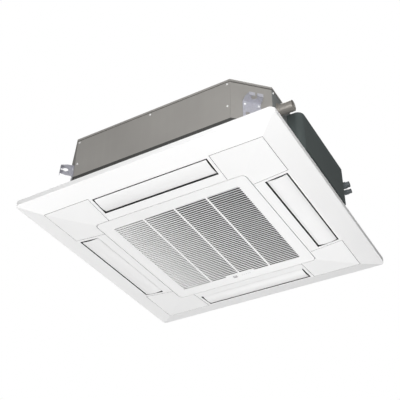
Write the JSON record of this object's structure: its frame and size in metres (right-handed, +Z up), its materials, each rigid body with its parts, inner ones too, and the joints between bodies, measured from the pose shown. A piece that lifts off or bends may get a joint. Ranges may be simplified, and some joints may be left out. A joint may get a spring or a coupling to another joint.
{
  "type": "ceiling cassette air conditioner",
  "caption": "Ceiling cassette air conditioner: white square panel with a slatted intake grille and a louvred outlet on each side, under an octagonal sheet-metal casing.",
  "frame": {"origin": "centre of the four hanger holes, in the middle plane of the hanger tabs", "axes": "+Z up, +X to the side with the control box and pipe stubs, +Y towards the grille's hinge and display"},
  "size_m": [0.95, 0.95, 0.3016],
  "materials": {
    "casing_steel": "satin",
    "bracket_steel": "brushed",
    "box_steel": "satin",
    "foam_dark": "matte",
    "foam_pale": "matte",
    "panel_white": "satin",
    "filter_plastic": "matte",
    "display_dark": "gloss",
    "fan_plastic": "matte",
    "motor_steel": "satin",
    "coil_aluminium": "satin",
    "copper_tube": "satin",
    "nut_brass": "satin",
    "rubber_black": "matte",
    "outlet_plastic": "satin",
    "board_green": "satin"
  },
  "bodies": {
    "casing": {"top_plate": "casing_steel", "side_plate_front": "casing_steel", "side_plate_right": "casing_steel", "side_plate_back": "casing_steel", "side_plate_left": "casing_steel", "corner_plate_front_right": "casing_steel", "corner_plate_back_right": "casing_steel", "corner_plate_back_left": "casing_steel", "corner_plate_front_left": "casing_steel", "hanger_bracket_front_right": "bracket_steel", "hanger_bracket_back_right": "bracket_steel", "hanger_bracket_back_left": "bracket_steel", "hanger_bracket_front_left": "bracket_steel", "casing_screws": "bracket_steel", "lower_band": "foam_dark", "casing_insulation": "foam_pale", "drain_pan": "foam_pale", "bell_mouth": "fan_plastic", "evaporator_fins": "coil_aluminium", "evaporator_end_plates": "coil_aluminium", "evaporator_bends": "copper_tube", "gas_pipe": "copper_tube", "liquid_pipe": "copper_tube", "gas_flare_nut": "nut_brass", "liquid_flare_nut": "nut_brass", "fan_motor": "motor_steel", "motor_mounts": "rubber_black", "drain_pump": "fan_plastic", "drain_hose": "rubber_black", "drain_outlet": "outlet_plastic", "control_box": "box_steel", "control_box_cover": "box_steel", "control_board": "board_green", "terminal_block": "outlet_plastic", "panel_frame": "panel_white", "corner_cover_front_right": "panel_white", "corner_cover_back_right": "panel_white", "corner_cover_back_left": "panel_white", "corner_cover_front_left": "panel_white", "swing_motor_front": "fan_plastic", "swing_motor_right": "fan_plastic", "swing_motor_back": "fan_plastic", "swing_motor_left": "fan_plastic", "panel_screws": "bracket_steel", "panel_seal": "foam_dark"},
    "grille": {"intake_grille": "panel_white", "filter_frame": "filter_plastic", "filter_net": "filter_plastic", "receiver_window": "display_dark", "indicator_lamps": "display_dark"},
    "louvre_front_blade": {"louvre_front": "panel_white"},
    "louvre_right_blade": {"louvre_right": "panel_white"},
    "louvre_back_blade": {"louvre_back": "panel_white"},
    "louvre_left_blade": {"louvre_left": "panel_white"},
    "fan": {"fan_wheel": "fan_plastic", "motor_shaft": "motor_steel"},
    "float_ring": {"float": "fan_plastic"},
    "catch_left_plunger": {"catch_left": "panel_white"},
    "catch_right_plunger": {"catch_right": "panel_white"}
  },
  "joints": [
    {"name": "grille_hinge", "type": "hinge", "parent": "casing", "child": "grille", "pos_m": [0, 0.269, -0.2105], "axis": [1, 0, 0], "range_deg": [0, 90]},
    {"name": "louvre_front_swing", "type": "hinge", "parent": "casing", "child": "louvre_front_blade", "pos_m": [0, -0.358, -0.198], "axis": [1, 0, 0], "range_deg": [0, 40]},
    {"name": "louvre_right_swing", "type": "hinge", "parent": "casing", "child": "louvre_right_blade", "pos_m": [0.358, 0, -0.198], "axis": [0, 1, 0], "range_deg": [0, 40]},
    {"name": "louvre_back_swing", "type": "hinge", "parent": "casing", "child": "louvre_back_blade", "pos_m": [0, 0.358, -0.198], "axis": [-1, 0, 0], "range_deg": [0, 40]},
    {"name": "louvre_left_swing", "type": "hinge", "parent": "casing", "child": "louvre_left_blade", "pos_m": [-0.358, 0, -0.198], "axis": [0, -1, 0], "range_deg": [0, 40]},
    {"name": "fan_spin", "type": "hinge", "parent": "casing", "child": "fan", "pos_m": [0, 0, -0.02], "axis": [0, 0, 1], "continuous": true},
    {"name": "float_lift", "type": "slide", "parent": "casing", "child": "float_ring", "axis": [0, 0, 1], "range_m": [0, 0.012]},
    {"name": "catch_left_push", "type": "slide", "parent": "casing", "child": "catch_left_plunger", "axis": [0, 0, 1], "range_m": [0, 0.004], "stiffness_N_per_m": 200},
    {"name": "catch_right_push", "type": "slide", "parent": "casing", "child": "catch_right_plunger", "axis": [0, 0, 1], "range_m": [0, 0.004], "stiffness_N_per_m": 200}
  ],
  "couplings": [
    {"joint": "louvre_right_swing", "follows": "louvre_front_swing", "ratio": 1},
    {"joint": "louvre_back_swing", "follows": "louvre_front_swing", "ratio": 1},
    {"joint": "louvre_left_swing", "follows": "louvre_front_swing", "ratio": 1}
  ]
}
